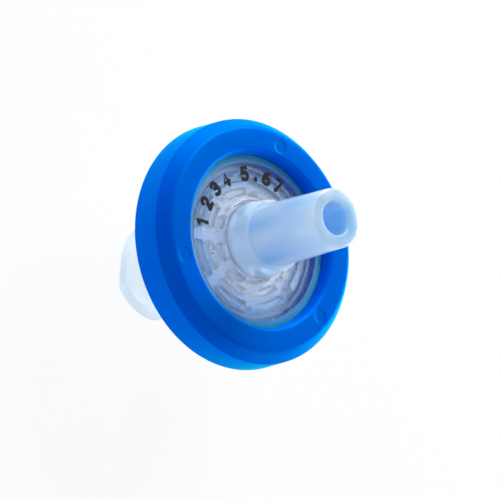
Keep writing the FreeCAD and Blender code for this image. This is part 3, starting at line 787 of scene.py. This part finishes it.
class FILTER_OT_inlet(bpy.types.Operator):
    """Smooth the inlet half with its luer lock, and lay the membrane in its seat"""

    bl_idname = "filter_piece.inlet"
    bl_label = "Inlet half and membrane"

    SEGMENTS = 192
    DISC_SEGMENTS = 128
    EAR_STEPS = 20

    def execute(self, context):
        sizes = context.scene.filter_inlet
        material = natural_polypropylene(sizes.shade)
        mesh = turned_mesh("inlet_half", rounded_outline(self.outline(sizes)), self.SEGMENTS)
        mesh.materials.append(material)
        inlet = new_object("inlet_half", mesh)
        ears = repeated_around(new_object("ears", self.ear_mesh(sizes)), 2, material)
        spokes = repeated_around(new_object("spokes", self.spoke_mesh(sizes)), sizes.spokes, material)
        combine(inlet, [ears, spokes], "UNION", "MANIFOLD")
        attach(inlet, BODY)
        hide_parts("inlet_housing")

        low, high = MEMBRANE_LOW.z + FILM, MEMBRANE_HIGH.z - FILM
        reach, edge = MEMBRANE_HIGH.x, 0.03 * MM
        corners = [(0.0, low), (reach, low), (reach, high, edge), (0.0, high)]
        disc = turned_mesh("membrane_disc", rounded_outline(corners), self.DISC_SEGMENTS)
        # The membrane's colour holds a faint painted blue from the ring's light.
        disc.materials.append(membrane_film(sizes.membrane_shade))
        membrane = new_object("membrane_disc", disc)
        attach(membrane, BODY)
        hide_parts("membrane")
        return {"FINISHED"}

    def outline(self, sizes):
        """Return the corners of the closed section of the socket, hub and plate."""
        end, parting = INLET_LOW.z, INLET_HIGH.z
        face = parting - sizes.plate
        seat = MEMBRANE_LOW.z
        recess_floor = seat - sizes.recess_depth
        seat_radius = MEMBRANE_HIGH.x + sizes.clearance
        recess_radius = MEMBRANE_HIGH.x - sizes.ledge
        floor_radius = sizes.socket_radius - LUER_TAPER * sizes.socket_depth
        hub_foot = sizes.hub_radius + sizes.hub_draft * (face - end)
        edge = 0.05 * MM
        return [
            (sizes.socket_radius + sizes.mouth_chamfer, end),
            (sizes.socket_radius - LUER_TAPER * sizes.mouth_chamfer, end + sizes.mouth_chamfer),
            (floor_radius, end + sizes.socket_depth, 3 * edge),
            (sizes.feed_radius, end + sizes.socket_depth, edge),
            (sizes.feed_radius, recess_floor, edge),
            (recess_radius, recess_floor, edge),
            (recess_radius, seat, edge),
            (seat_radius, seat),
            (seat_radius, parting),
            (INLET_HIGH.x, parting),
            (INLET_HIGH.x, face),
            (hub_foot, face, sizes.hub_fillet),
            (sizes.hub_radius, end, sizes.end_round),
        ]

    def ear_mesh(self, sizes):
        """Return one luer lock ear: an arc with two flanks tangent to the hub and a sloped back.

        Its root lies inside the wall of the hub, so that the socket stays free.
        """
        end = INLET_LOW.z
        hub = sizes.hub_radius
        root = (hub + sizes.socket_radius + sizes.mouth_chamfer) / 2
        reach = hub + sizes.ear_reach
        flank = sizes.ear_arc / 2 + math.acos(hub / reach)
        slope = sizes.thread_lead / (2 * math.pi * reach)
        steps = self.EAR_STEPS
        shares = [step / steps - 0.5 for step in range(steps + 1)]
        places = [(reach, sizes.ear_arc * share) for share in shares]
        places.append((hub, flank))
        places += [(root, -2 * flank * share) for share in shares]
        places.append((hub, -flank))
        spots = [Vector(polar(*place)) for place in places]
        build = bmesh.new()
        low = [build.verts.new((x, y, end)) for x, y in spots]
        high = [build.verts.new((x, y, end + sizes.ear_height + slope * y)) for x, y in spots]
        build.faces.new(low)
        build.faces.new(high)
        for i in range(len(spots)):
            after = (i + 1) % len(spots)
            build.faces.new((low[i], low[after], high[after], high[i]))
        rims = [build.edges.get(side[i : i + 2]) for side in (low, high) for i in range(steps)]
        bmesh.ops.bevel(build, geom=rims, offset=sizes.end_round, segments=4, affect="EDGES")
        bmesh.ops.recalc_face_normals(build, faces=build.faces)
        bmesh.ops.rotate(build, verts=build.verts, matrix=Matrix.Rotation(sizes.ear_turn, 3, "Z"))
        return built_mesh("ear", build)

    def spoke_mesh(self, sizes):
        """Return one radial rib, which holds the membrane off the floor of its recess."""
        far = MEMBRANE_HIGH.x - sizes.ledge / 2
        sunk = 0.1 * MM
        low = MEMBRANE_LOW.z - sizes.recess_depth - sunk
        high = MEMBRANE_LOW.z - FILM
        centre = Vector(((sizes.spoke_start + far) / 2, 0, (low + high) / 2))
        scale = Matrix.Diagonal((far - sizes.spoke_start, sizes.spoke_width, high - low, 1))
        build = bmesh.new()
        turn = Matrix.Rotation(sizes.ear_turn, 4, "Z")
        bmesh.ops.create_cube(build, size=1, matrix=turn @ Matrix.Translation(centre) @ scale)
        return built_mesh("spoke", build)


# Strokes of the digits in a box 60 wide and 100 high. Round strokes bend through their points.
DIGIT_STROKES = {
    "1": [("straight", [(12, 78), (34, 100), (34, 0)])],
    "2": [
        ("round", [(3, 78), (14, 96), (34, 100), (55, 86), (53, 62), (30, 34), (2, 0)]),
        ("straight", [(2, 0), (58, 0)]),
    ],
    "3": [
        ("round", [(5, 90), (30, 100), (54, 82), (48, 60), (24, 53)]),
        ("round", [(24, 53), (50, 46), (57, 24), (34, 1), (3, 10)]),
    ],
    "4": [("straight", [(44, 0), (44, 100), (2, 30), (60, 30)])],
    "5": [
        ("straight", [(52, 100), (10, 100), (6, 55)]),
        ("round", [(6, 55), (30, 62), (54, 46), (54, 18), (32, 0), (3, 8)]),
    ],
    "6": [
        ("round", [(50, 97), (20, 82), (4, 42), (10, 10), (32, 0), (55, 14), (55, 42), (32, 56), (6, 40)]),
    ],
    "7": [("straight", [(3, 100), (57, 100), (24, 0)])],
    ".": [("dot", [(30, 10)])],
}


class FILTER_OT_digits(bpy.types.Operator):
    """Print plain digits around the face of the outlet plate"""

    bl_idname = "filter_piece.digits"
    bl_label = "Digits"

    # Direction of each digit from X, in degrees: a group of four, a gap, and a second group.
    TURNS = (172, 155, 138.5, 124, 102, 90, 78, 64.5)
    # Middle of a digit, as shares of its height.
    MIDDLE = (0.3, 0.5)
    # Radii of a stroke's round end and of a point, as shares of the width of a stroke.
    END_RADIUS = 0.5
    DOT_RADIUS = 0.6

    def execute(self, context):
        sizes = context.scene.filter_digits
        face = OUTLET_LOW.z + context.scene.filter_outlet.plate
        curve = bpy.data.curves.new("digits", "CURVE")
        curve.dimensions = "3D"
        curve.bevel_depth = sizes.stroke / 2
        curve.bevel_resolution = 3
        curve.use_fill_caps = True
        curve.resolution_u = 10
        ends = []
        for digit, degrees in zip(sizes.digits, self.TURNS):
            turn = math.radians(degrees)
            up = Vector((*polar(1.0, turn), 0))
            right = Vector((up.y, -up.x, 0))
            for kind, points in DIGIT_STROKES[digit]:
                places = [
                    up * (sizes.circle + (along / 100 - self.MIDDLE[1]) * sizes.height)
                    + right * (across / 100 - self.MIDDLE[0]) * sizes.height
                    for across, along in points
                ]
                radius = sizes.stroke * (self.DOT_RADIUS if kind == "dot" else self.END_RADIUS)
                ends += [(places[0], radius), (places[-1], radius)]
                if kind == "dot":
                    continue
                spline = curve.splines.new("BEZIER")
                spline.bezier_points.add(len(places) - 1)
                for knot, place in zip(spline.bezier_points, places):
                    knot.co = place
                    knot.handle_left_type = "AUTO" if kind == "round" else "VECTOR"
                    knot.handle_right_type = knot.handle_left_type
        strokes = new_object("digit_strokes", curve)
        mesh = evaluated_mesh(strokes)
        mesh.name = "digits"
        bpy.data.objects.remove(strokes)
        build = bmesh.new()
        build.from_mesh(mesh)
        for place, radius in ends:
            matrix = Matrix.Translation(place)
            bmesh.ops.create_uvsphere(build, u_segments=20, v_segments=8, radius=radius, matrix=matrix)
        build.to_mesh(mesh)
        build.free()
        flatten = sizes.film / sizes.stroke
        mesh.transform(Matrix.Translation((0, 0, face)) @ Matrix.Diagonal((1, 1, flatten, 1)))
        mesh.materials.append(printing_ink(sizes.shade))
        clean_mesh(mesh, JOIN)
        digits = new_object("digits", mesh)
        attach(digits, BODY)
        return {"FINISHED"}


class FILTER_OT_stage(bpy.types.Operator):
    """Set up the floor, the lamps, the surroundings and the camera"""

    bl_idname = "filter_piece.stage"
    bl_label = "Stage"

    # Camera: its place and its right and up directions, in the frame of the filter.
    CAMERA_PLACE = Vector((-83.564, -31.287, 112.792)) * MM
    CAMERA_RIGHT = Vector((0.77486, 0.0, 0.63214))
    CAMERA_UP = Vector((-0.14321, 0.97400, 0.17554))
    CAMERA_LENS = 144.0
    CAMERA_CLIP = (5 * MM, 5.0)

    # Lamps: name, azimuth from X and elevation in degrees, share of the power and of the height.
    # The three small ones draw the highlights on the foot and the collar of the hub.
    LAMPS = (
        ("lamp_low_right", 0, 15, 0.38, 1.0),
        ("lamp_low_top", 90, 15, 0.13, 1.0),
        ("lamp_high_top", 65, 42, 0.39, 0.6),
        ("lamp_small_top", 95, 15, 0.05, 0.3),
        ("lamp_small_bottom", 304, 16, 0.05, 0.3),
        ("lamp_small_front", 200, 49, 0.03, 0.25),
    )
    # Width of a lamp for its height, and how far under the filter the floor lies.
    LAMP_WIDTH = 1.8
    FLOOR_DROP = 0.02 * MM
    # Rises, of 1 overhead, over which reflections sink to the sky's strength and the walls end.
    SKY_RISE = (0.05, 0.45)
    WALL_RISE = (0.2, 0.6)

    def execute(self, context):
        settings = context.scene.filter_stage
        self.add_floor(settings)
        self.add_surroundings(context, settings)
        middle = Vector((0, 0, OUTLET_LOW.z))
        for name, azimuth, elevation, share, size in self.LAMPS:
            level, rise = polar(1.0, math.radians(elevation))
            direction = Vector((*polar(level, math.radians(azimuth)), rise))
            offset = direction * settings.lamp_distance
            self.add_lamp(name, middle, offset, share * settings.lamp_power, size * settings.lamp_side)
        self.add_camera(context)
        return {"FINISHED"}

    def add_floor(self, settings):
        """Lay a square floor under the open end of the luer lock."""
        half = settings.floor_size / 2
        mesh = bpy.data.meshes.new("floor")
        corners = [(-half, -half), (half, -half), (half, half), (-half, half)]
        mesh.from_pydata([(x, y, -self.FLOOR_DROP) for x, y in corners], [], [(0, 1, 2, 3)])
        mesh.materials.append(studio_floor(settings.floor_shade))
        new_object("floor", mesh)

    def add_surroundings(self, context, settings):
        """Surround the filter with white where it is seen, and with a soft fill where it lights."""
        world = bpy.data.worlds.new("white surroundings")
        world.use_nodes = True
        context.scene.world = world
        tree = world.node_tree
        direction = add_node(tree, "ShaderNodeTexCoord").outputs["Generated"]
        rise = add_node(tree, "ShaderNodeSeparateXYZ", links={0: direction}).outputs["Z"]
        path = add_node(tree, "ShaderNodeLightPath").outputs
        # Cycles leaves out the light that lamps focus through clear plastic, so what lies under
        # the plate gets more from the surroundings instead.
        scattered = calculated(tree, "MINIMUM", path["Diffuse Depth"], 1.0)
        inner = calculated(tree, "MULTIPLY_ADD", scattered, settings.inner - 1.0, 1.0)
        through = calculated(tree, "MULTIPLY", path["Is Transmission Ray"], inner)
        seen = calculated(tree, "MAXIMUM", path["Is Camera Ray"], through)
        sky = mapped(tree, rise, (1.0, settings.sky), self.SKY_RISE, "SMOOTHSTEP")
        mirrored = calculated(tree, "MULTIPLY", path["Is Glossy Ray"], sky)
        walls = mapped(tree, rise, (settings.fill, 0.0), self.WALL_RISE, "SMOOTHSTEP")
        lighting = calculated(tree, "MULTIPLY", path["Is Diffuse Ray"], walls)
        looks = calculated(tree, "MAXIMUM", seen, mirrored)
        strength = calculated(tree, "MAXIMUM", looks, lighting)
        shader = tree.nodes["Background"]
        shader.inputs["Color"].default_value = (1, 1, 1, 1)
        tree.links.new(strength, shader.inputs["Strength"])

    def add_lamp(self, name, middle, offset, energy, side):
        """Hang a softbox that faces the middle of the filter."""
        lamp = bpy.data.lights.new(name, "AREA")
        lamp.shape = "RECTANGLE"
        lamp.size = self.LAMP_WIDTH * side
        lamp.size_y = side
        lamp.energy = energy
        holder = new_object(name, lamp)
        holder.location = middle + offset
        holder.rotation_euler = offset.to_track_quat("Z", "Y").to_euler()

    def add_camera(self, context):
        """Place the camera at the product view."""
        lens = bpy.data.cameras.new("camera")
        lens.lens = self.CAMERA_LENS
        lens.clip_start, lens.clip_end = self.CAMERA_CLIP
        camera = new_object("camera", lens)
        right = self.CAMERA_RIGHT.normalized()
        up = self.CAMERA_UP.normalized()
        turn = Matrix((right, up, right.cross(up))).transposed()
        camera.matrix_world = Matrix.Translation(self.CAMERA_PLACE) @ turn.to_4x4()
        context.scene.camera = camera


class FILTER_PT_pieces(bpy.types.Panel):
    """Sizes and colours of the filter, with a button for each piece"""

    bl_idname = "FILTER_PT_pieces"
    bl_label = "Syringe Filter"
    bl_space_type = "VIEW_3D"
    bl_region_type = "UI"
    bl_category = "Syringe Filter"

    def draw(self, context):
        for operator, settings in zip(OPERATORS, SETTINGS):
            box = self.layout.box()
            box.operator(operator.bl_idname)
            group = getattr(context.scene, settings)
            for name in group.bl_rna.properties.keys():
                if name not in ("rna_type", "name"):
                    box.prop(group, name)


# ---- Registration and the run ----

SETTINGS = {
    "filter_ring": FilterRingSettings,
    "filter_outlet": FilterOutletSettings,
    "filter_inlet": FilterInletSettings,
    "filter_digits": FilterDigitSettings,
    "filter_stage": FilterStageSettings,
}
OPERATORS = (FILTER_OT_ring, FILTER_OT_outlet, FILTER_OT_inlet, FILTER_OT_digits, FILTER_OT_stage)
CLASSES = (*SETTINGS.values(), *OPERATORS, FILTER_PT_pieces)


def register():
    """Register the classes and give the scene its settings."""
    for entry in CLASSES:
        bpy.utils.register_class(entry)
    for name, group in SETTINGS.items():
        setattr(bpy.types.Scene, name, PointerProperty(type=group))


def unregister():
    """Take the settings off the scene and unregister the classes."""
    for name in SETTINGS:
        delattr(bpy.types.Scene, name)
    for entry in reversed(CLASSES):
        bpy.utils.unregister_class(entry)


def main():
    register()
    bpy.ops.filter_piece.ring()
    bpy.ops.filter_piece.outlet()
    bpy.ops.filter_piece.inlet()
    bpy.ops.filter_piece.digits()
    bpy.ops.filter_piece.stage()
    bpy.context.scene.view_settings.view_transform = "Standard"


if __name__ == "__main__":
    main()
